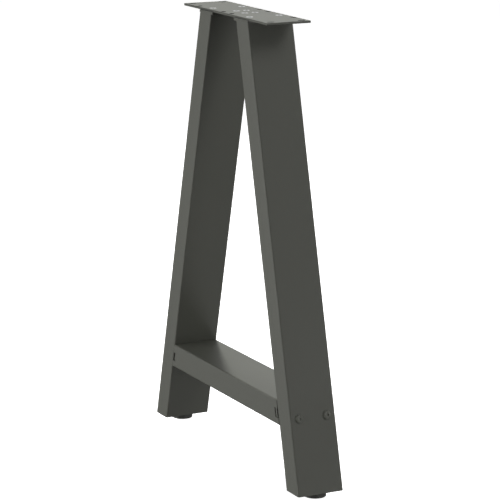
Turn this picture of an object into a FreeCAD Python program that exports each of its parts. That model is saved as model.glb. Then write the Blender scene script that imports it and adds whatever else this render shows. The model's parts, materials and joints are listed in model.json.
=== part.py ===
import FreeCAD, Part
import math
import os

# Trestle table leg: an A-shaped frame of rectangular tube under a flat fixing plate.
# Millimetres. X runs across the two legs, Y is the depth, Z is up, the floor is Z = 0.

# Overall sizes
overall_height = 735.0
plate_length = 296.0
plate_thick = 3.5
plate_corner_r = 1.0
plate_setback = 1.75
span_at_floor_end = 526.0
span_under_plate = 169.0

# Rectangular tube
tube_depth = 80.0
tube_thick = 40.0
tube_wall = 1.5
tube_corner_r = 2.5

# Cap plates on the legs' tops
cap_thick = 4.0
cap_overhang = 6.0

# Crossbar
bar_underside = 107.0
joint_below_mid = 1.5
notch_height = 15.0
notch_clear = 1.0
end_plate_setback = 4.0
end_plate_thick = 4.5
tab_gap = 0.6
tab_recess = 1.0

# Crossbar bolts
bolt_r = 4.0
bolt_hole_r = 4.5
bolt_from_edge = 15.6
bolt_length = 50.0
bolt_head_r = 7.0
bolt_head_high = 2.8
bolt_head_rim = 1.0
bolt_socket_across = 5.0
bolt_socket_deep = 1.6

# Countersunk screws of the plate
screw_from_edge = 14.0
screw_r = 3.0
screw_hole_r = 3.3
screw_length = 12.0
screw_head_r = 5.75
screw_head_rim = 0.25
screw_socket_across = 4.0
screw_socket_deep = 2.0

# Threaded inserts in the plate's middle
insert_x = 15.0
insert_y = 9.0
insert_flange_r = 5.5
insert_flange_thick = 1.0
insert_body_r = 4.5
insert_length = 14.0
insert_bulge_r = 5.75
insert_bulge_long = 3.5
insert_bulge_taper = 1.75
insert_bore_r = 2.5

# Free holes of the plate
middle_hole_x = 15.0
middle_hole_from_edge = 6.25
side_hole_from_end = 47.0
side_hole_from_edge = 6.25
free_hole_r = 4.0
slot_from_end = 10.0
slot_from_edge = 11.0
slot_long = 13.0
slot_wide = 6.5
slot_end_flat = 0.002  # straight line left between the two arcs of a slot's end

# Levelling feet
foot_drop = 8.0
pad_clear = 0.3
pad_r = 18.0
pad_edge = 0.5
stud_r = 4.0
stud_flange_r = 7.0
stud_flange_low = 2.0
stud_flange_thick = 2.4
stud_top = 46.0
stud_tip = 0.8
foot_plate_thick = 4.0
foot_plate_hole_r = 4.5
foot_nut_across = 13.0
foot_nut_high = 6.5
thread_fit = 0.05

# Values that follow from the sizes
plate_underside = overall_height - plate_thick
cap_underside = plate_underside - cap_thick
slope_run = (span_at_floor_end - span_under_plate) / 2.0
slope_rise = plate_underside - foot_drop
slope = math.atan2(slope_run, slope_rise)
slope_deg = math.degrees(slope)
tube_across = tube_thick / math.cos(slope)
foot_x = span_at_floor_end / 2.0 - tube_across / 2.0
half_depth = tube_depth / 2.0
plate_width = tube_depth - 2 * plate_setback
pad_top = foot_drop - pad_clear
up = FreeCAD.Vector(0, 0, 1)
bar_mid = bar_underside + tube_thick / 2.0
joint_height = bar_mid - joint_below_mid
notch_reach = end_plate_setback + end_plate_thick + notch_clear
bolt_y = half_depth - bolt_from_edge
screw_y = half_depth - screw_from_edge
middle_hole_y = plate_width / 2.0 - middle_hole_from_edge
side_hole_x = plate_length / 2.0 - side_hole_from_end
side_hole_y = plate_width / 2.0 - side_hole_from_edge
slot_x = plate_length / 2.0 - slot_from_end
slot_y = plate_width / 2.0 - slot_from_edge


def outer_x(z):
    """X of the right leg's outer face at height z."""
    return span_at_floor_end / 2.0 - (z - foot_drop) * math.tan(slope)


def rounded_wire(wide, deep, radius):
    """Closed outline of a rectangle with round corners, centred in the XY plane."""
    a = wide / 2.0
    b = deep / 2.0
    k = radius * (1.0 - math.sqrt(0.5))
    corners = ((1, 1), (-1, 1), (-1, -1), (1, -1))
    edges = []
    for number, (sx, sy) in enumerate(corners):
        near_x = FreeCAD.Vector(sx * a, sy * (b - radius), 0)
        near_y = FreeCAD.Vector(sx * (a - radius), sy * b, 0)
        middle = FreeCAD.Vector(sx * (a - k), sy * (b - k), 0)
        first, last = (near_x, near_y) if number % 2 == 0 else (near_y, near_x)
        tx, ty = corners[(number + 1) % 4]
        if number % 2 == 0:
            following = FreeCAD.Vector(tx * (a - radius), ty * b, 0)
        else:
            following = FreeCAD.Vector(tx * a, ty * (b - radius), 0)
        edges.append(Part.Arc(first, middle, last).toShape())
        edges.append(Part.makeLine(last, following))
    return Part.Wire(edges)


def rounded_bar(wide, deep, radius, high):
    """Solid bar with round long edges that stands on the XY plane."""
    return Part.Face(rounded_wire(wide, deep, radius)).extrude(FreeCAD.Vector(0, 0, high))


def tube_bar(wide, deep, high):
    """Hollow rectangular tube that stands on the XY plane."""
    outside = rounded_bar(wide, deep, tube_corner_r, high)
    inside = rounded_bar(wide - 2 * tube_wall, deep - 2 * tube_wall, tube_corner_r - tube_wall, high)
    return outside.cut(inside)


def slab(z_low, z_high):
    """Wide level block between two heights."""
    side = 4 * overall_height
    return Part.makeBox(side, side, z_high - z_low, FreeCAD.Vector(-side / 2, -side / 2, z_low))


def turned(points):
    """Solid of revolution about Z from (radius, height) points."""
    outline = [FreeCAD.Vector(r, 0, z) for r, z in points]
    outline.append(outline[0])
    return Part.Face(Part.makePolygon(outline)).revolve(FreeCAD.Vector(), up, 360)


def hexagon(across, high, z_low):
    """Upright hexagonal block about Z."""
    corner_r = across / math.sqrt(3.0)
    outline = []
    for number in range(7):
        angle = math.radians(60 * number)
        outline.append(FreeCAD.Vector(corner_r * math.cos(angle), corner_r * math.sin(angle), z_low))
    return Part.Face(Part.makePolygon(outline)).extrude(FreeCAD.Vector(0, 0, high))


def cylinder(radius, z_low, z_high, x=0.0, y=0.0):
    """Upright cylinder between two heights."""
    return Part.makeCylinder(radius, z_high - z_low, FreeCAD.Vector(x, y, z_low))


def mirrored(shape):
    """The same shape for the other leg."""
    return shape.mirror(FreeCAD.Vector(), FreeCAD.Vector(1, 0, 0))


def on_outer_face(shape, y):
    """Moves a shape built along -Z from its seat onto the right leg's outer face at the joint."""
    moved = shape.copy()
    moved.rotate(FreeCAD.Vector(), FreeCAD.Vector(0, 1, 0), 90 - slope_deg)
    moved.translate(FreeCAD.Vector(outer_x(joint_height), y, joint_height))
    return moved


def leg_layer(inward, thick):
    """Wide flat block parallel to the right leg's inner face, measured inwards from that face."""
    side = 4 * overall_height
    block = Part.makeBox(thick, side, side, FreeCAD.Vector(-inward - thick, -side / 2, -side / 2))
    block.rotate(FreeCAD.Vector(), FreeCAD.Vector(0, 1, 0), -slope_deg)
    block.translate(FreeCAD.Vector(outer_x(bar_mid) - tube_across, 0, bar_mid))
    return block


# Crossbar bolts, built along -Z from the seat of the head
def button_bolt():
    """Domed socket bolt with its seat at Z = 0 and its shank downwards."""
    dome_high = bolt_head_high - bolt_head_rim
    # The dome follows the head: its flat crown, and a point halfway down its round
    crown_share = 0.5
    dome_out_share = 0.84
    dome_up_share = 0.62
    rim_end = FreeCAD.Vector(bolt_head_r, 0, bolt_head_rim)
    dome_mid = FreeCAD.Vector(bolt_head_r * dome_out_share, 0, bolt_head_rim + dome_high * dome_up_share)
    crown_end = FreeCAD.Vector(bolt_head_r * crown_share, 0, bolt_head_high)
    edges = [
        Part.makeLine(FreeCAD.Vector(), FreeCAD.Vector(bolt_head_r, 0, 0)),
        Part.makeLine(FreeCAD.Vector(bolt_head_r, 0, 0), rim_end),
        Part.Arc(rim_end, dome_mid, crown_end).toShape(),
        Part.makeLine(crown_end, FreeCAD.Vector(0, 0, bolt_head_high)),
        Part.makeLine(FreeCAD.Vector(0, 0, bolt_head_high), FreeCAD.Vector()),
    ]
    head = Part.Face(Part.Wire(edges)).revolve(FreeCAD.Vector(), up, 360)
    socket = hexagon(bolt_socket_across, bolt_socket_deep, bolt_head_high - bolt_socket_deep)
    shank = turned([
        (0, 0),
        (bolt_r, 0),
        (bolt_r, -bolt_length + stud_tip),
        (bolt_r - stud_tip, -bolt_length),
        (0, -bolt_length),
    ])
    return head.fuse(shank).cut(socket).removeSplitter()


def bolt_row(shape):
    """The two places of a bolt on the right leg."""
    return [on_outer_face(shape, side * bolt_y) for side in (-1, 1)]


# Right leg tube: cut level at the floor end and under the cap, bored for the two bolts
long_tube = tube_bar(tube_thick, tube_depth, 2 * overall_height)
long_tube.translate(FreeCAD.Vector(-tube_thick / 2.0, 0, -overall_height / 2.0))
long_tube.rotate(FreeCAD.Vector(), FreeCAD.Vector(0, 1, 0), -slope_deg)
long_tube.translate(FreeCAD.Vector(span_at_floor_end / 2.0, 0, foot_drop))
right_leg_tube = long_tube.common(slab(foot_drop, cap_underside))
bolt_bore = cylinder(bolt_hole_r, -tube_thick - tube_wall, tube_wall)
for bore in bolt_row(bolt_bore):
    right_leg_tube = right_leg_tube.cut(bore)

# Right cap plate: closes the leg's top and carries the screw threads
cap_outer_x = outer_x(cap_underside)
cap_inner_x = cap_outer_x - tube_across - cap_overhang
screw_x = cap_outer_x - tube_across / 2.0
right_top_cap = Part.makeBox(
    cap_outer_x - cap_inner_x, tube_depth, cap_thick, FreeCAD.Vector(cap_inner_x, -half_depth, cap_underside))
for side in (-1, 1):
    right_top_cap = right_top_cap.cut(
        cylinder(screw_r, cap_underside, plate_underside, screw_x, side * screw_y))

# Top plate with its holes
head_drop = screw_head_r - screw_r
head_cone = turned([
    (0, overall_height - screw_head_rim - head_drop),
    (screw_r, overall_height - screw_head_rim - head_drop),
    (screw_head_r, overall_height - screw_head_rim),
    (screw_head_r, overall_height),
    (0, overall_height),
])
top_plate = rounded_bar(plate_length, plate_width, plate_corner_r, plate_thick)
top_plate.translate(FreeCAD.Vector(0, 0, plate_underside))
slot_cutter = rounded_bar(slot_wide, slot_long, (slot_wide - slot_end_flat) / 2.0, plate_thick)
slot_cutter.translate(FreeCAD.Vector(0, 0, plate_underside))
for sx in (-1, 1):
    for sy in (-1, 1):
        slot = slot_cutter.copy()
        slot.translate(FreeCAD.Vector(sx * slot_x, sy * slot_y, 0))
        sink = head_cone.copy()
        sink.translate(FreeCAD.Vector(sx * screw_x, sy * screw_y, 0))
        cutters = [
            slot,
            sink,
            cylinder(screw_hole_r, plate_underside, overall_height, sx * screw_x, sy * screw_y),
            cylinder(free_hole_r, plate_underside, overall_height, sx * middle_hole_x, sy * middle_hole_y),
            cylinder(insert_body_r, plate_underside, overall_height, sx * insert_x, sy * insert_y),
            cylinder(insert_flange_r, overall_height - insert_flange_thick, overall_height,
                     sx * insert_x, sy * insert_y),
        ]
        for cutter in cutters:
            top_plate = top_plate.cut(cutter)
    top_plate = top_plate.cut(
        cylinder(free_hole_r, plate_underside, overall_height, sx * side_hole_x, sx * side_hole_y))

# Countersunk screw, flush with the plate's top
screw_tip_z = overall_height - screw_length
screw = head_cone.fuse(turned([
    (0, screw_tip_z),
    (screw_r - stud_tip, screw_tip_z),
    (screw_r, screw_tip_z + stud_tip),
    (screw_r, overall_height - screw_head_rim - head_drop),
    (0, overall_height - screw_head_rim - head_drop),
]))
screw = screw.cut(hexagon(screw_socket_across, screw_socket_deep, overall_height - screw_socket_deep))
screw = screw.removeSplitter()

# Threaded insert, flush with the plate's top and upset under it
insert = turned([
    (insert_bore_r, overall_height),
    (insert_flange_r, overall_height),
    (insert_flange_r, overall_height - insert_flange_thick),
    (insert_body_r, overall_height - insert_flange_thick),
    (insert_body_r, plate_underside),
    (insert_bulge_r, plate_underside),
    (insert_bulge_r, plate_underside - insert_bulge_long + insert_bulge_taper),
    (insert_body_r, plate_underside - insert_bulge_long),
    (insert_body_r, overall_height - insert_length),
    (insert_bore_r, overall_height - insert_length),
])


def four_places(shape, x, y):
    """The same piece at four mirrored places."""
    placed = []
    for sx in (-1, 1):
        for sy in (-1, 1):
            copy = shape.copy()
            copy.translate(FreeCAD.Vector(sx * x, sy * y, 0))
            placed.append(copy)
    return Part.makeCompound(placed)


top_plate_screws = four_places(screw, screw_x, screw_y)
plate_inserts = four_places(insert, insert_x, insert_y)

# Crossbar tube: ends mitred to the legs' inner faces, notched for the end plates' tabs
bar_reach = 2 * outer_x(bar_underside)
crossbar_tube = tube_bar(tube_thick, tube_depth, bar_reach)
crossbar_tube.rotate(FreeCAD.Vector(), FreeCAD.Vector(0, 1, 0), 90)
crossbar_tube.translate(FreeCAD.Vector(-bar_reach / 2.0, 0, bar_mid))
right_of_mitre = leg_layer(-overall_height, overall_height)
notch = leg_layer(0.0, notch_reach).common(
    slab(joint_height - notch_height / 2.0, joint_height + notch_height / 2.0))
for cutter in (right_of_mitre, notch):
    crossbar_tube = crossbar_tube.cut(cutter).cut(mirrored(cutter))

# Right end plate: parallel to the leg, inside the bar, with a tab through each narrow wall
inner_bar = rounded_bar(
    tube_thick - 2 * tube_wall,
    tube_depth - 2 * tube_wall,
    tube_corner_r - tube_wall,
    bar_reach)
inner_bar.rotate(FreeCAD.Vector(), FreeCAD.Vector(0, 1, 0), 90)
inner_bar.translate(FreeCAD.Vector(-bar_reach / 2.0, 0, bar_mid))
tab_slab = slab(joint_height - notch_height / 2.0 + tab_gap, joint_height + notch_height / 2.0 - tab_gap)
tab_reach = Part.makeBox(
    bar_reach,
    tube_depth - 2 * tab_recess,
    tube_thick,
    FreeCAD.Vector(0, tab_recess - half_depth, bar_underside)).common(tab_slab)
plate_layer = leg_layer(end_plate_setback, end_plate_thick)
crossbar_right_end_plate = plate_layer.common(inner_bar).fuse(plate_layer.common(tab_reach)).removeSplitter()
thread_bore = cylinder(bolt_r, -2 * bolt_length, 0)
for bore in bolt_row(thread_bore):
    crossbar_right_end_plate = crossbar_right_end_plate.cut(bore)

right_crossbar_bolts = Part.makeCompound(bolt_row(button_bolt()))

# Right foot plate: closes the tube's floor end, with the nut welded on it
inner_leg = rounded_bar(
    tube_thick - 2 * tube_wall,
    tube_depth - 2 * tube_wall,
    tube_corner_r - tube_wall,
    2 * overall_height)
inner_leg.translate(FreeCAD.Vector(-tube_thick / 2.0, 0, -overall_height / 2.0))
inner_leg.rotate(FreeCAD.Vector(), FreeCAD.Vector(0, 1, 0), -slope_deg)
inner_leg.translate(FreeCAD.Vector(span_at_floor_end / 2.0, 0, foot_drop))
foot_plate_top = foot_drop + foot_plate_thick
right_foot_plate = inner_leg.common(slab(foot_drop, foot_plate_top))
right_foot_plate = right_foot_plate.cut(
    cylinder(foot_plate_hole_r, foot_drop, foot_plate_top, foot_x))

foot_nut = hexagon(foot_nut_across, foot_nut_high, foot_plate_top)
foot_nut = foot_nut.cut(cylinder(stud_r + thread_fit, foot_plate_top, foot_plate_top + foot_nut_high))
foot_nut.rotate(FreeCAD.Vector(), up, 30)
right_foot_nut = foot_nut.copy()
right_foot_nut.translate(FreeCAD.Vector(foot_x, 0, 0))

# Right foot: a threaded stud moulded into a round disc
stud_flange_top = stud_flange_low + stud_flange_thick
foot_stud = turned([
    (0, stud_flange_low),
    (stud_flange_r, stud_flange_low),
    (stud_flange_r, stud_flange_top),
    (stud_r, stud_flange_top),
    (stud_r, stud_top - stud_tip),
    (stud_r - stud_tip, stud_top),
    (0, stud_top),
])
foot_pad = turned([
    (0, 0),
    (pad_r - pad_edge, 0),
    (pad_r, pad_edge),
    (pad_r, pad_top - pad_edge),
    (pad_r - pad_edge, pad_top),
    (0, pad_top),
])
foot_pad = foot_pad.cut(foot_stud)
right_foot_stud = foot_stud.copy()
right_foot_stud.translate(FreeCAD.Vector(foot_x, 0, 0))
right_foot_pad = foot_pad.copy()
right_foot_pad.translate(FreeCAD.Vector(foot_x, 0, 0))

# Every piece by its node name
nodes = {
    "top_plate": top_plate,
    "top_plate_screws": top_plate_screws,
    "plate_inserts": plate_inserts,
    "crossbar_tube": crossbar_tube,
}
right_hand = {
    "{}_leg_tube": right_leg_tube,
    "{}_top_cap": right_top_cap,
    "crossbar_{}_end_plate": crossbar_right_end_plate,
    "{}_crossbar_bolts": right_crossbar_bolts,
    "{}_foot_plate": right_foot_plate,
    "{}_foot_nut": right_foot_nut,
    "{}_foot_stud": right_foot_stud,
    "{}_foot_pad": right_foot_pad,
}
for pattern, shape in right_hand.items():
    nodes[pattern.format("right")] = shape
    nodes[pattern.format("left")] = mirrored(shape)

os.makedirs("parts", exist_ok=True)
for node, shape in nodes.items():
    shape.exportStep("parts/" + node + ".step")
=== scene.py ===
"""Looks of a trestle table leg: finishes, threads, weld beads, studio light and camera."""

import json
import logging
import math
from dataclasses import dataclass, replace
from enum import Enum
from typing import Dict, List, Optional, Sequence, Tuple, Union

import bmesh
import bpy
from mathutils import Matrix, Vector

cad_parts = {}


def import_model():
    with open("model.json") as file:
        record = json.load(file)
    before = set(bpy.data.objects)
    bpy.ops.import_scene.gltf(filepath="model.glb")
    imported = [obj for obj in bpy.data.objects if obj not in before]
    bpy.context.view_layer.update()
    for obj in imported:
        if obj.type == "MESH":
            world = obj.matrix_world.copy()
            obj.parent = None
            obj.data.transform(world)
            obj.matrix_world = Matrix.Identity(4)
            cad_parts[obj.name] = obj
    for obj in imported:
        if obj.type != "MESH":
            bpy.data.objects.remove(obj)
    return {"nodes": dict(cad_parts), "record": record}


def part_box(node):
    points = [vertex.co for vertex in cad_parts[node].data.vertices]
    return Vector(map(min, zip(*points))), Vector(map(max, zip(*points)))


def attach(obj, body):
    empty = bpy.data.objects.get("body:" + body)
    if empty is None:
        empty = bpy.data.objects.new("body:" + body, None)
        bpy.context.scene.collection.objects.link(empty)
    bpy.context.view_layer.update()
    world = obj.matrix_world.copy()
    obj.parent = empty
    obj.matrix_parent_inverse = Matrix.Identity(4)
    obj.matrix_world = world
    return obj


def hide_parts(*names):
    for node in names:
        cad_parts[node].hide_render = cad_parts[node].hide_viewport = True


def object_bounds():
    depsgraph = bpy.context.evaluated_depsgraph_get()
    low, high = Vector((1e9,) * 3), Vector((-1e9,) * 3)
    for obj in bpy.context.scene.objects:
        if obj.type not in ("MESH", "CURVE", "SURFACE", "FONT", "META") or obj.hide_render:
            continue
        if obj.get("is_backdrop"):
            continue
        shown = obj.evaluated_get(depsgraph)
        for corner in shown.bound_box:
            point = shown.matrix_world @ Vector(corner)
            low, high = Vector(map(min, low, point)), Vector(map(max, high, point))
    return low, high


LOG = logging.getLogger("trestle_leg")
Colour = Tuple[float, float, float]
Place = Tuple[float, float, float]
Nodes = Dict[str, bpy.types.Object]
Feed = Union[bpy.types.NodeSocket, float]
MM = 0.001
QUARTER_TURN = math.radians(90.0)
WHITE = (1.0, 1.0, 1.0, 1.0)
ANTHRACITE: Colour = (0.1045, 0.1082, 0.0895)


class Body(Enum):
    """Rigid bodies of the leg."""

    FRAME = "frame"
    LEFT_FOOT = "left_foot"
    RIGHT_FOOT = "right_foot"


class Slot(Enum):
    """Material slots of the pieces that are added to the CAD nodes."""

    POWDER_COAT = "powder_coat"
    ZINC_STEEL = "zinc_steel"


class Look(Enum):
    """Finishes of the leg's surfaces."""

    TUBE_COAT = "anthracite_tube_coat"
    PLATE_COAT = "anthracite_plate_coat"
    BOLT_COAT = "anthracite_bolt_coat"
    ZINC = "bright_zinc"
    HALF_COATED_ZINC = "half_coated_zinc"
    PLASTIC = "moulded_black_plastic"


class Side(Enum):
    """The two legs, with the sign of their X."""

    LEFT = -1
    RIGHT = 1

    @property
    def word(self) -> str:
        """Lower-case name of the side, as the nodes use it."""
        return self.name.lower()


class Socket(Enum):
    """Kinds of socket that the shared effects put out or take in."""

    FLOAT = "NodeSocketFloat"
    VECTOR = "NodeSocketVector"


@dataclass(frozen=True)
class Octaves:
    """How a noise is layered: the count of its octaves and the weight of the finer ones."""

    detail: float
    roughness: float


class Graph:
    """A node tree with short calls for adding and joining nodes."""

    def __init__(self, tree: bpy.types.NodeTree) -> None:
        """Keeps the tree and empties it.

        Args:
            tree: The node tree to fill.
        """
        self.tree = tree
        self.tree.nodes.clear()

    def add(self, kind: str, **settings: object) -> bpy.types.Node:
        """Adds one node.

        Args:
            kind: The node's type name without the prefix ShaderNode.
            **settings: Attributes to set on the node.

        Returns:
            The new node.
        """
        name = kind if kind.startswith("NodeGroup") else "ShaderNode" + kind
        node = self.tree.nodes.new(name)
        for key, value in settings.items():
            setattr(node, key, value)
        return node

    def join(self, start: bpy.types.NodeSocket, end: bpy.types.NodeSocket) -> None:
        """Links an output to an input."""
        self.tree.links.new(start, end)

    def feed(self, value: Feed, end: bpy.types.NodeSocket) -> None:
        """Gives an input its value.

        Args:
            value: Socket to link, or number to set.
            end: The input.
        """
        if isinstance(value, bpy.types.NodeSocket):
            self.join(value, end)
        else:
            end.default_value = value

    def math(self, operation: str, *values: Feed) -> bpy.types.NodeSocket:
        """Adds a Math node.

        Args:
            operation: The operation's name.
            *values: Sockets or numbers, in the order of the inputs.

        Returns:
            The node's output.
        """
        node = self.add("Math", operation=operation)
        for number, value in enumerate(values):
            self.feed(value, node.inputs[number])
        return node.outputs[0]

    def noise(self, place: bpy.types.NodeSocket, scale: Feed, octaves: Octaves) -> bpy.types.NodeSocket:
        """Adds a Noise Texture.

        Args:
            place: Socket with the coordinates.
            scale: Number or socket for the scale.
            octaves: How the noise is layered.

        Returns:
            The value from 0 to 1.
        """
        node = self.add("TexNoise")
        self.join(place, node.inputs["Vector"])
        self.feed(scale, node.inputs["Scale"])
        node.inputs["Detail"].default_value = octaves.detail
        node.inputs["Roughness"].default_value = octaves.roughness
        return node.outputs[0]

    def effect(self, group: bpy.types.NodeTree, **values: float) -> bpy.types.Node:
        """Places a shared effect with values of its own.

        Args:
            group: The effect's node group.
            **values: Numbers for the group's inputs, by name.

        Returns:
            The group's node.
        """
        node = self.add("Group", node_tree=group)
        for name, value in values.items():
            node.inputs[name].default_value = value
        return node

    def show(self, shader: bpy.types.Node) -> None:
        """Makes a shader the material's surface."""
        output = self.add("OutputMaterial")
        self.join(shader.outputs["BSDF"], output.inputs["Surface"])


class EffectGroups:
    """Shader node groups that several finishes share, each built once."""

    GRAIN = "coat_grain"
    EDGE = "edge_mask"
    CREVICE = "crevice_mask"
    FINE = Octaves(3.0, 0.6)
    WAVY = Octaves(2.0, 0.5)
    SLOW = Octaves(3.0, 0.55)
    DRIFT_SCALE = 7.0
    EDGE_SAMPLES = 6
    CREVICE_SAMPLES = 12

    def __init__(self) -> None:
        """Builds the groups."""
        self.grain = self._build_grain()
        self.edge = self._build_edge()
        self.crevice = self._build_crevice()

    @staticmethod
    def _new(name: str, inputs: Sequence[str], outputs: Dict[str, Socket]) -> Graph:
        """Makes an empty group with its sockets.

        Args:
            name: The group's name.
            inputs: Name of each input, which is a number.
            outputs: Name and kind of each output.

        Returns:
            The group's tree, ready for nodes.
        """
        tree = bpy.data.node_groups.new(name, "ShaderNodeTree")
        for label in inputs:
            tree.interface.new_socket(label, in_out="INPUT", socket_type=Socket.FLOAT.value)
        for label, kind in outputs.items():
            tree.interface.new_socket(label, in_out="OUTPUT", socket_type=kind.value)
        return Graph(tree)

    def _build_grain(self) -> bpy.types.NodeTree:
        """Fine grain, soft waviness and slow drift of a surface.

        Returns:
            The group, which gives a height, a fleck value and a drift value, all about 0 to 1.
        """
        outputs = {"Height": Socket.FLOAT, "Fleck": Socket.FLOAT, "Drift": Socket.FLOAT}
        graph = self._new(self.GRAIN, ["Grain", "Wave", "Mix"], outputs)
        given = graph.add("NodeGroupInput")
        result = graph.add("NodeGroupOutput")
        place = graph.add("TexCoord").outputs["Object"]
        fine = graph.noise(place, given.outputs["Grain"], self.FINE)
        wave = graph.noise(place, given.outputs["Wave"], self.WAVY)
        drift = graph.noise(place, self.DRIFT_SCALE, self.SLOW)
        share = given.outputs["Mix"]
        rest = graph.math("SUBTRACT", 1.0, share)
        height = graph.math("ADD", graph.math("MULTIPLY", fine, share), graph.math("MULTIPLY", wave, rest))
        graph.join(height, result.inputs["Height"])
        graph.join(fine, result.inputs["Fleck"])
        graph.join(drift, result.inputs["Drift"])
        return graph.tree

    def _build_edge(self) -> bpy.types.NodeTree:
        """Mask of the edges, and a normal that is rounded there.

        Returns:
            The group, which gives a mask of 0 to 1 and a normal.
        """
        graph = self._new(self.EDGE, ["Radius", "Gain"], {"Mask": Socket.FLOAT, "Normal": Socket.VECTOR})
        given = graph.add("NodeGroupInput")
        result = graph.add("NodeGroupOutput")
        rounded = graph.add("Bevel", samples=self.EDGE_SAMPLES)
        graph.join(given.outputs["Radius"], rounded.inputs["Radius"])
        flat = graph.add("NewGeometry").outputs["Normal"]
        dot = graph.add("VectorMath", operation="DOT_PRODUCT")
        graph.join(rounded.outputs[0], dot.inputs[0])
        graph.join(flat, dot.inputs[1])
        away = graph.math("SUBTRACT", 1.0, dot.outputs["Value"])
        gained = graph.math("MULTIPLY", away, given.outputs["Gain"])
        limited = graph.math("MINIMUM", graph.math("MAXIMUM", gained, 0.0), 1.0)
        graph.join(limited, result.inputs["Mask"])
        graph.join(rounded.outputs[0], result.inputs["Normal"])
        return graph.tree

    def _build_crevice(self) -> bpy.types.NodeTree:
        """Mask of holes, slots and narrow gaps, where little light gets in; the finishes paint shade there
        with it.

        Returns:
            The group, which gives a mask of 0 to 1.
        """
        graph = self._new(self.CREVICE, ["Reach", "Gain"], {"Mask": Socket.FLOAT})
        given = graph.add("NodeGroupInput")
        result = graph.add("NodeGroupOutput")
        open_sky = graph.add("AmbientOcclusion", samples=self.CREVICE_SAMPLES)
        graph.join(given.outputs["Reach"], open_sky.inputs["Distance"])
        closed = graph.math("SUBTRACT", 1.0, open_sky.outputs["AO"])
        gained = graph.math("MULTIPLY", closed, given.outputs["Gain"])
        graph.join(graph.math("MINIMUM", gained, 1.0), result.inputs["Mask"])
        return graph.tree


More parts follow.
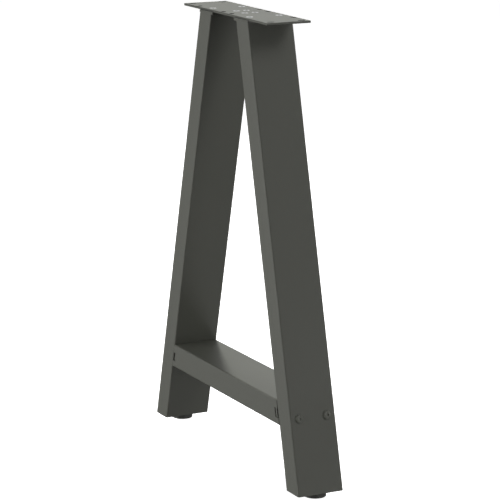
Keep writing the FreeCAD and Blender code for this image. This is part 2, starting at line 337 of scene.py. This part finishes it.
@dataclass(frozen=True)
class Finish:
    """One finish: a base colour with grain, painted light and shade on edges, painted shade in crevices,
    and a bump.

    Lengths are in metres, scales are per metre. An edge factor over 1 paints a highlight on the edges and
    one under 1 paints shade on them. A crevice factor over 0 paints shade into the crevices and one under 0
    paints light into them.
    Below coat_top, where it is set, the frame's coat covers the metal.
    """

    look: Look
    colour: Colour
    roughness: float
    metallic: float = 0.0
    specular: float = 0.5
    grain: float = 1400.0
    wave: float = 260.0
    grain_share: float = 0.5
    fleck: float = 0.18
    drift: float = 0.1
    rough_spread: float = 0.12
    bump: float = 0.3
    bump_depth: float = 0.0002
    edge_radius: float = 0.0006
    edge_gain: float = 6.0
    edge_painted_light: float = 1.25
    edge_rough: float = -0.08
    crevice_reach: float = 0.009
    crevice_gain: float = 1.0
    crevice_painted_shade: float = 0.4
    coat_top: Optional[float] = None

    def material(self, groups: EffectGroups) -> bpy.types.Material:
        """Builds the material of this finish.

        Args:
            groups: The shared effects.

        Returns:
            The material.
        """
        made = bpy.data.materials.new(self.look.value)
        made.use_nodes = True
        graph = Graph(made.node_tree)
        grain = graph.effect(groups.grain, Grain=self.grain, Wave=self.wave, Mix=self.grain_share)
        edge = graph.effect(groups.edge, Radius=self.edge_radius, Gain=self.edge_gain)
        crevice = graph.effect(groups.crevice, Reach=self.crevice_reach, Gain=self.crevice_gain)
        shader = graph.add("BsdfPrincipled")
        shader.inputs["Metallic"].default_value = self.metallic
        shader.inputs["Specular IOR Level"].default_value = self.specular
        self._colour(graph, self._level(graph, grain, edge, crevice), shader)
        self._roughness(graph, grain, edge, shader)
        bump = graph.add("Bump")
        bump.inputs["Strength"].default_value = self.bump
        bump.inputs["Distance"].default_value = self.bump_depth
        graph.join(grain.outputs["Height"], bump.inputs["Height"])
        graph.join(edge.outputs["Normal"], bump.inputs["Normal"])
        graph.join(bump.outputs["Normal"], shader.inputs["Normal"])
        graph.show(shader)
        made.diffuse_color = (*self.colour, 1.0)
        return made

    def _level(
        self, graph: Graph, grain: bpy.types.Node, edge: bpy.types.Node, crevice: bpy.types.Node
    ) -> bpy.types.NodeSocket:
        """Brightness of the colour: flecked and drifting, with painted light and shade on edges and painted
        shade in crevices.

        Args:
            graph: The material's tree.
            grain: The grain group's node.
            edge: The edge group's node.
            crevice: The crevice group's node.

        Returns:
            The factor for the colour.
        """
        flecks = graph.math("MULTIPLY_ADD", grain.outputs["Fleck"], self.fleck, 1.0 - self.fleck / 2.0)
        drifts = graph.math("MULTIPLY_ADD", grain.outputs["Drift"], self.drift, 1.0 - self.drift / 2.0)
        # Painted highlight on the edges, and painted shade where the edge factor is under 1.
        edges = graph.math("MULTIPLY_ADD", edge.outputs["Mask"], self.edge_painted_light - 1.0, 1.0)
        # Painted shade in holes, slots and gaps, and painted light there where the crevice factor is under
        # 0.
        shade = graph.math("MULTIPLY_ADD", crevice.outputs["Mask"], -self.crevice_painted_shade, 1.0)
        mottled = graph.math("MULTIPLY", flecks, drifts)
        return graph.math("MULTIPLY", graph.math("MULTIPLY", mottled, edges), shade)

    def _colour(self, graph: Graph, level: bpy.types.NodeSocket, shader: bpy.types.Node) -> None:
        """Feeds Base Color with the surface's colour times the level.

        Args:
            graph: The material's tree.
            level: Brightness of the colour.
            shader: The material's shader.
        """
        tint = graph.add("VectorMath", operation="SCALE")
        tint.inputs[0].default_value = self.colour
        graph.join(level, tint.inputs["Scale"])
        graph.join(tint.outputs[0], shader.inputs["Base Color"])
        if self.coat_top is not None:
            self._coat(graph, self.coat_top, tint, shader)

    def _coat(self, graph: Graph, top: float, tint: bpy.types.Node, shader: bpy.types.Node) -> None:
        """Covers the metal with the frame's coat up to a height.

        Args:
            graph: The material's tree.
            top: Height of the coat's top.
            tint: The node that scales the colour.
            shader: The material's shader.
        """
        height = graph.add("SeparateXYZ")
        graph.join(graph.add("TexCoord").outputs["Object"], height.inputs[0])
        bare = graph.math("GREATER_THAN", height.outputs["Z"], top)
        choice = graph.add("Mix", data_type="RGBA")
        graph.join(bare, choice.inputs["Factor"])
        choice.inputs["A"].default_value = (*ANTHRACITE, 1.0)
        choice.inputs["B"].default_value = (*self.colour, 1.0)
        graph.join(choice.outputs["Result"], tint.inputs[0])
        graph.join(graph.math("MULTIPLY", bare, self.metallic), shader.inputs["Metallic"])

    def _roughness(
        self, graph: Graph, grain: bpy.types.Node, edge: bpy.types.Node, shader: bpy.types.Node
    ) -> None:
        """Feeds Roughness with the grain's spread and the polish of the edges.

        Args:
            graph: The material's tree.
            grain: The grain group's node.
            edge: The edge group's node.
            shader: The material's shader.
        """
        low = self.roughness - self.rough_spread / 2.0
        spread = graph.math("MULTIPLY_ADD", grain.outputs["Drift"], self.rough_spread, low)
        worn = graph.math("MULTIPLY_ADD", edge.outputs["Mask"], self.edge_rough, spread)
        graph.join(worn, shader.inputs["Roughness"])


class Finishes:
    """The leg's finishes, each built once."""

    BOLT_GREY: Colour = (0.125, 0.13, 0.108)
    GREY_ZINC: Colour = (0.56, 0.57, 0.575)
    SOFT_BLACK: Colour = (0.06, 0.0612, 0.0545)
    COAT_ROUGHNESS = 0.52
    # Below zero: light is painted into the bolts' sockets, taking off the shade that their recess casts.
    SOCKET_PAINTED_LIGHT = -0.9

    def __init__(self, plate_underside: float) -> None:
        """Builds every material.

        Args:
            plate_underside: Height up to which the coat covers the threaded inserts.
        """
        groups = EffectGroups()
        # Zinc: a strong painted shade in the sockets and hollows, and a painted highlight on the edges.
        zinc = Finish(
            Look.ZINC, self.GREY_ZINC, roughness=0.36, metallic=1.0, grain=3200.0, wave=900.0, fleck=0.1,
            drift=0.08, bump=0.08, edge_radius=0.0003, edge_painted_light=1.1, crevice_reach=0.006,
            crevice_gain=1.8, crevice_painted_shade=0.95,
        )
        finishes = [
            # Tube coat: painted shade near the joints and under the plate, out to a 40 mm reach.
            Finish(
                Look.TUBE_COAT, ANTHRACITE, self.COAT_ROUGHNESS, crevice_reach=0.04, crevice_painted_shade=0.15,
            ),
            # Plate coat: painted shade on its edges and a strong painted shade in its holes and slots.
            Finish(
                Look.PLATE_COAT, ANTHRACITE, self.COAT_ROUGHNESS, edge_radius=0.0016, edge_painted_light=0.25,
                crevice_gain=1.9, crevice_painted_shade=0.95,
            ),
            Finish(
                Look.BOLT_COAT, self.BOLT_GREY, roughness=0.48, grain=2200.0, fleck=0.08,
                crevice_reach=0.003, crevice_painted_shade=self.SOCKET_PAINTED_LIGHT,
            ),
            zinc,
            replace(zinc, look=Look.HALF_COATED_ZINC, coat_top=plate_underside),
            # Plastic: a painted highlight on the edges, and no painted shade in the hollows.
            Finish(
                Look.PLASTIC, self.SOFT_BLACK, roughness=0.55, grain=2600.0, wave=600.0, fleck=0.2,
                bump=0.25, edge_radius=0.0005, edge_painted_light=1.3, crevice_painted_shade=0.0,
            ),
        ]
        self.materials: Dict[Look, bpy.types.Material] = {
            finish.look: finish.material(groups) for finish in finishes
        }

    def put(self, piece: bpy.types.Object, look: Look) -> None:
        """Gives a piece one finish."""
        piece.data.materials.clear()
        piece.data.materials.append(self.materials[look])

    def put_all(self, nodes: Nodes, looks: Dict[str, Look]) -> List[str]:
        """Gives several CAD nodes their finishes.

        Args:
            nodes: The CAD nodes by name.
            looks: The finish of each node to dress.

        Returns:
            The names of the dressed nodes.
        """
        for name, look in looks.items():
            self.put(nodes[name], look)
        return list(looks)


def keep_mesh(shape: bmesh.types.BMesh, name: str, smooth: bool) -> bpy.types.Object:
    """Turns a bmesh into an object at the origin.

    Args:
        shape: The finished shape, which is freed.
        name: The object's name.
        smooth: True for smooth shading.

    Returns:
        The new object, linked to the scene.
    """
    bmesh.ops.recalc_face_normals(shape, faces=shape.faces)
    mesh = bpy.data.meshes.new(name)
    shape.to_mesh(mesh)
    shape.free()
    for face in mesh.polygons:
        face.use_smooth = smooth
    piece = bpy.data.objects.new(name, mesh)
    bpy.context.scene.collection.objects.link(piece)
    return piece


@dataclass
class TopPlate:
    """The fixing plate with its countersunk screws and threaded inserts."""

    nodes: Nodes
    finishes: Finishes

    def dress(self) -> List[str]:
        """Gives the plate and its fasteners their finishes.

        Returns:
            The names of the dressed pieces.
        """
        looks = {
            "top_plate": Look.PLATE_COAT,
            "top_plate_screws": Look.ZINC,
            "plate_inserts": Look.HALF_COATED_ZINC,
        }
        return self.finishes.put_all(self.nodes, looks)


@dataclass
class LegPost:
    """One splayed leg: its tube, its cap plate and the weld bead under the cap."""

    side: Side
    nodes: Nodes
    finishes: Finishes
    bead_radius: float = 1.7 * MM
    bead_inset: float = 4.0 * MM
    bead_sides: int = 10
    bead_steps: int = 48
    bead_swell: float = 0.16
    steps_per_ripple: int = 4

    def dress(self) -> List[str]:
        """Gives the tube and the cap their finish.

        Returns:
            The names of the dressed pieces.
        """
        looks = {
            f"{self.side.word}_leg_tube": Look.TUBE_COAT,
            f"{self.side.word}_top_cap": Look.TUBE_COAT,
        }
        return self.finishes.put_all(self.nodes, looks)

    def build_bead(self) -> bpy.types.Object:
        """Builds the rippled weld bead where the cap overhangs the tube.

        Returns:
            The bead, riding on the frame.
        """
        low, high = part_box(f"{self.side.word}_leg_tube")
        # The tube splays, so its innermost corner is at its top.
        corner_x = low.x if self.side is Side.RIGHT else high.x
        start = Vector((corner_x, low.y + self.bead_inset, high.z))
        stride = (high.y - low.y - 2.0 * self.bead_inset) / self.bead_steps
        shape = bmesh.new()
        bmesh.ops.create_circle(
            shape, cap_ends=True, radius=self.bead_radius, segments=self.bead_sides,
            matrix=Matrix.Translation(start) @ Matrix.Rotation(QUARTER_TURN, 4, "X"),
        )
        self._lay_ripples(shape, start, stride)
        bead = keep_mesh(shape, f"{self.side.word}_cap_weld", smooth=True)
        self.finishes.put(bead, Look.TUBE_COAT)
        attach(bead, Body.FRAME.value)
        return bead

    def _lay_ripples(self, shape: bmesh.types.BMesh, start: Vector, stride: float) -> None:
        """Draws the bead's first disc out along Y, step by step, swelling in ripples.

        Args:
            shape: The bmesh, which holds only the disc.
            start: The disc's middle.
            stride: Length of a step.
        """
        # With its edges named too, each disc goes when it is drawn out. Only the first one stays, and it
        # closes the bead's end.
        front = [*shape.edges, *shape.faces]
        previous = 1.0
        for step in range(self.bead_steps):
            pushed = bmesh.ops.extrude_face_region(shape, geom=front, use_keep_orig=step == 0)
            verts = [item for item in pushed["geom"] if isinstance(item, bmesh.types.BMVert)]
            front = [item for item in pushed["geom"] if not isinstance(item, bmesh.types.BMVert)]
            bmesh.ops.translate(shape, verts=verts, vec=(0.0, stride, 0.0))
            wanted = 1.0 + self.bead_swell * math.cos(math.tau * step / self.steps_per_ripple)
            grow = (wanted / previous, 1.0, wanted / previous)
            middle = start + Vector((0.0, stride * (step + 1), 0.0))
            bmesh.ops.scale(shape, verts=verts, vec=grow, space=Matrix.Translation(-middle))
            previous = wanted


@dataclass
class Crossbar:
    """The low bar between the legs with its end plates and bolts."""

    nodes: Nodes
    finishes: Finishes

    def dress(self) -> List[str]:
        """Gives the bar, its end plates and its bolts their finishes.

        Returns:
            The names of the dressed pieces.
        """
        looks = {"crossbar_tube": Look.TUBE_COAT}
        for side in Side:
            looks[f"crossbar_{side.word}_end_plate"] = Look.TUBE_COAT
            looks[f"{side.word}_crossbar_bolts"] = Look.BOLT_COAT
        return self.finishes.put_all(self.nodes, looks)


@dataclass
class LevellingFoot:
    """One foot: pad, threaded stud, welded nut and the plate that closes the tube.

    The thread's tooth lies within one pitch. Its root starts at root_share of the pitch from each end, and
    its crest at crest_share.
    """

    side: Side
    nodes: Nodes
    finishes: Finishes
    stud_radius: float = 4.0 * MM
    stud_tip: float = 0.8 * MM
    thread_depth: float = 0.62 * MM
    thread_pitch: float = 1.25 * MM
    thread_gap: float = 0.02 * MM
    thread_steps: int = 20
    root_share: float = 0.06
    crest_share: float = 0.44
    flange_radius: float = 7.0 * MM
    flange_thick: float = 2.4 * MM
    core_steps: int = 32
    merge_gap: float = 0.001 * MM

    @property
    def body(self) -> Body:
        """The body that the foot's moving pieces ride on."""
        return Body.LEFT_FOOT if self.side is Side.LEFT else Body.RIGHT_FOOT

    def dress(self) -> List[str]:
        """Gives the pad, the nut, the closing plate and the plain stud their finishes.

        Returns:
            The names of the dressed pieces.
        """
        word = self.side.word
        looks = {
            f"{word}_foot_pad": Look.PLASTIC,
            f"{word}_foot_nut": Look.ZINC,
            f"{word}_foot_plate": Look.TUBE_COAT,
            f"{word}_foot_stud": Look.ZINC,
        }
        return self.finishes.put_all(self.nodes, looks)

    def build_stud(self) -> bpy.types.Object:
        """Builds the stud with its flange and its cut thread.

        Returns:
            The stud, riding on the foot in place of the plain one.
        """
        low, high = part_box(f"{self.side.word}_foot_stud")
        axis_x = (low.x + high.x) / 2.0
        shape = bmesh.new()
        self._spin_core(shape, axis_x, low.z, high.z)
        self._wind_thread(shape, axis_x, low.z + self.flange_thick, high.z)
        stud = keep_mesh(shape, f"{self.side.word}_threaded_stud", smooth=False)
        self.finishes.put(stud, Look.ZINC)
        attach(stud, self.body.value)
        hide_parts(f"{self.side.word}_foot_stud")
        return stud

    def _spin_core(self, shape: bmesh.types.BMesh, axis_x: float, bottom: float, top: float) -> None:
        """Spins the stud's core and flange about its axis.

        Args:
            shape: The bmesh to add to.
            axis_x: X of the stud's axis.
            bottom: Height of the flange's underside.
            top: Height of the stud's tip.
        """
        core = self.stud_radius - self.thread_depth
        shoulder = bottom + self.flange_thick
        outline = [
            (0.0, bottom), (self.flange_radius, bottom), (self.flange_radius, shoulder), (core, shoulder),
            (core, top - self.stud_tip), (core - self.stud_tip, top), (0.0, top),
        ]
        verts = [shape.verts.new((axis_x + radius, 0.0, z)) for radius, z in outline]
        edges = [shape.edges.new(pair) for pair in zip(verts, verts[1:])]
        bmesh.ops.spin(
            shape, geom=verts + edges, cent=(axis_x, 0.0, 0.0), axis=(0.0, 0.0, 1.0), angle=math.tau,
            steps=self.core_steps, use_merge=True,
        )
        bmesh.ops.remove_doubles(shape, verts=shape.verts, dist=self.merge_gap)

    def _wind_thread(self, shape: bmesh.types.BMesh, axis_x: float, bottom: float, top: float) -> None:
        """Winds one tooth up the stud as a helix.

        Args:
            shape: The bmesh to add to.
            axis_x: X of the stud's axis.
            bottom: Height where the thread starts.
            top: Height of the stud's tip.
        """
        crest = self.stud_radius - self.thread_gap
        root = self.stud_radius - self.thread_depth - self.thread_gap
        pitch = self.thread_pitch
        turns = int((top - bottom) / pitch) - 1
        tooth = [
            (root, self.root_share), (crest, self.crest_share),
            (crest, 1.0 - self.crest_share), (root, 1.0 - self.root_share),
        ]
        verts = [shape.verts.new((axis_x + radius, 0.0, bottom + share * pitch)) for radius, share in tooth]
        face = shape.faces.new(verts)
        bmesh.ops.spin(
            shape, geom=[face], cent=(axis_x, 0.0, 0.0), axis=(0.0, 0.0, 1.0), angle=math.tau * turns,
            dvec=(0.0, 0.0, pitch / self.thread_steps), steps=turns * self.thread_steps, use_merge=False,
        )


@dataclass(frozen=True)
class SoftBox:
    """One square studio light, placed round the leg's middle.

    The azimuth is counted from +X towards +Y, and the power is in watts.
    """

    name: str
    azimuth_deg: float
    elevation_deg: float
    power: float
    distance: float = 3.0
    size: float = 2.6

    def build(self, middle: Vector) -> bpy.types.Object:
        """Makes the light.

        Args:
            middle: The point that the light faces.

        Returns:
            The light object, turned to the middle.
        """
        lamp = bpy.data.lights.new(self.name, "AREA")
        lamp.shape = "SQUARE"
        lamp.size = self.size
        lamp.energy = self.power
        made = bpy.data.objects.new(self.name, lamp)
        bpy.context.scene.collection.objects.link(made)
        azimuth = math.radians(self.azimuth_deg)
        elevation = math.radians(self.elevation_deg)
        level = math.cos(elevation)
        outward = Vector((math.cos(azimuth) * level, math.sin(azimuth) * level, math.sin(elevation)))
        made.location = middle + outward * self.distance
        made.rotation_euler = (-outward).to_track_quat("-Z", "Y").to_euler()
        return made


@dataclass(frozen=True)
class PhotoCamera:
    """The camera at the photograph's angle, with a pitch of 0 where it looks level."""

    place: Place = (3.353712, -1.702443, 1.18585)
    yaw_deg: float = 62.96973
    pitch_deg: float = -12.58595
    roll_deg: float = 0.11793
    focal_px: float = 2367.596
    image_px: float = 500.0
    sensor_mm: float = 36.0

    def build(self) -> bpy.types.Object:
        """Makes the camera and makes it the scene's own.

        Returns:
            The camera object.
        """
        lens = bpy.data.cameras.new("photo_camera")
        lens.sensor_width = self.sensor_mm
        lens.lens = self.focal_px * self.sensor_mm / self.image_px
        made = bpy.data.objects.new("photo_camera", lens)
        bpy.context.scene.collection.objects.link(made)
        yaw = Matrix.Rotation(math.radians(self.yaw_deg), 4, "Z")
        pitch = Matrix.Rotation(QUARTER_TURN + math.radians(self.pitch_deg), 4, "X")
        roll = Matrix.Rotation(math.radians(self.roll_deg), 4, "Z")
        made.matrix_world = Matrix.Translation(self.place) @ yaw @ pitch @ roll
        bpy.context.scene.camera = made
        return made


@dataclass
class Studio:
    """Pale floor, soft lights and a white surround.

    The floor lies where the feet reach when they are let right out, so that it hides no part of them.
    """

    floor_z: float
    light_above: float = 0.146
    light_below: float = 0.055
    floor_size: float = 60.0
    floor_grey: float = 0.9
    floor_roughness: float = 0.9
    floor_glow: float = 0.85
    middle: Place = (0.0, 0.0, 0.36)
    boxes: Tuple[SoftBox, ...] = (
        SoftBox("key_light", azimuth_deg=145.0, elevation_deg=71.0, power=101.0, distance=3.4, size=0.16),
        SoftBox("front_light", azimuth_deg=262.0, elevation_deg=0.0, power=54.0),
        SoftBox("front_left_light", azimuth_deg=230.0, elevation_deg=-4.0, power=19.0),
        SoftBox("back_light", azimuth_deg=105.0, elevation_deg=0.0, power=26.0),
        SoftBox("back_left_light", azimuth_deg=150.0, elevation_deg=12.0, power=13.5),
        SoftBox("right_light", azimuth_deg=28.0, elevation_deg=0.0, power=12.0, size=1.1),
        SoftBox("right_high_light", azimuth_deg=28.0, elevation_deg=45.0, power=16.5, size=1.1),
        SoftBox("right_low_light", azimuth_deg=28.0, elevation_deg=-40.0, power=8.0, size=1.1),
    )

    def build(self) -> List[bpy.types.Object]:
        """Makes the floor, the surround, the lights and the picture's tone.

        Returns:
            The light objects.
        """
        self._build_floor()
        self._build_surround()
        scene = bpy.context.scene
        scene.view_settings.view_transform = "Standard"
        scene.view_settings.look = "None"
        return [box.build(Vector(self.middle)) for box in self.boxes]

    def _build_floor(self) -> None:
        """Makes the pale floor, which counts as stage and neither lights nor shades the leg."""
        shape = bmesh.new()
        place = Matrix.Translation((0.0, 0.0, self.floor_z))
        bmesh.ops.create_grid(shape, x_segments=1, y_segments=1, size=self.floor_size / 2.0, matrix=place)
        floor = keep_mesh(shape, "studio_floor", smooth=False)
        made = bpy.data.materials.new("pale_floor")
        made.use_nodes = True
        graph = Graph(made.node_tree)
        shader = graph.add("BsdfPrincipled")
        shader.inputs["Base Color"].default_value = (self.floor_grey, self.floor_grey, self.floor_grey, 1.0)
        shader.inputs["Roughness"].default_value = self.floor_roughness
        shader.inputs["Emission Color"].default_value = WHITE
        seen = graph.add("LightPath").outputs["Is Camera Ray"]
        graph.join(graph.math("MULTIPLY", seen, self.floor_glow), shader.inputs["Emission Strength"])
        graph.show(shader)
        floor.data.materials.append(made)
        floor.visible_diffuse = False
        floor.visible_glossy = False
        floor.visible_shadow = False
        floor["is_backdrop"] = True

    def _build_surround(self) -> None:
        """Makes the world: soft light from above and below, plain white where the camera sees it."""
        world = bpy.data.worlds.new("white_surround")
        world.use_nodes = True
        bpy.context.scene.world = world
        graph = Graph(world.node_tree)
        split = graph.add("SeparateXYZ")
        graph.join(graph.add("TexCoord").outputs["Generated"], split.inputs[0])
        upward = graph.math("GREATER_THAN", split.outputs["Z"], 0.0)
        level = graph.math("MULTIPLY_ADD", upward, self.light_above - self.light_below, self.light_below)
        glow = graph.add("Background")
        graph.join(level, glow.inputs["Strength"])
        white = graph.add("Background")
        white.inputs["Strength"].default_value = 1.0
        for node in (glow, white):
            node.inputs["Color"].default_value = WHITE
        mix = graph.add("MixShader")
        graph.join(graph.add("LightPath").outputs["Is Camera Ray"], mix.inputs[0])
        graph.join(glow.outputs[0], mix.inputs[1])
        graph.join(white.outputs[0], mix.inputs[2])
        output = graph.add("OutputWorld")
        graph.join(mix.outputs[0], output.inputs["Surface"])


def main() -> None:
    """Builds and dresses every sub-assembly round the frame, then the studio."""
    logging.basicConfig(level=logging.INFO, format="%(name)s: %(message)s")
    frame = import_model()
    cad_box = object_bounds()
    nodes = frame["nodes"]
    plate_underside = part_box("top_plate")[0].z
    finishes = Finishes(plate_underside)
    LOG.info("plate: %s", TopPlate(nodes, finishes).dress())
    LOG.info("crossbar: %s", Crossbar(nodes, finishes).dress())
    for side in Side:
        post = LegPost(side, nodes, finishes)
        LOG.info("leg: %s", post.dress())
        LOG.info("weld: %s", post.build_bead().name)
        foot = LevellingFoot(side, nodes, finishes)
        LOG.info("foot: %s", foot.dress())
        LOG.info("stud: %s", foot.build_stud().name)
    reach = max(joint["range_m"][1] for joint in frame["record"]["behaviour"]["joints"])
    studio = Studio(floor_z=cad_box[0].z - reach)
    LOG.info("lights: %s", [light.name for light in studio.build()])
    LOG.info("camera: %s", PhotoCamera().build().name)


if __name__ == "__main__":
    main()
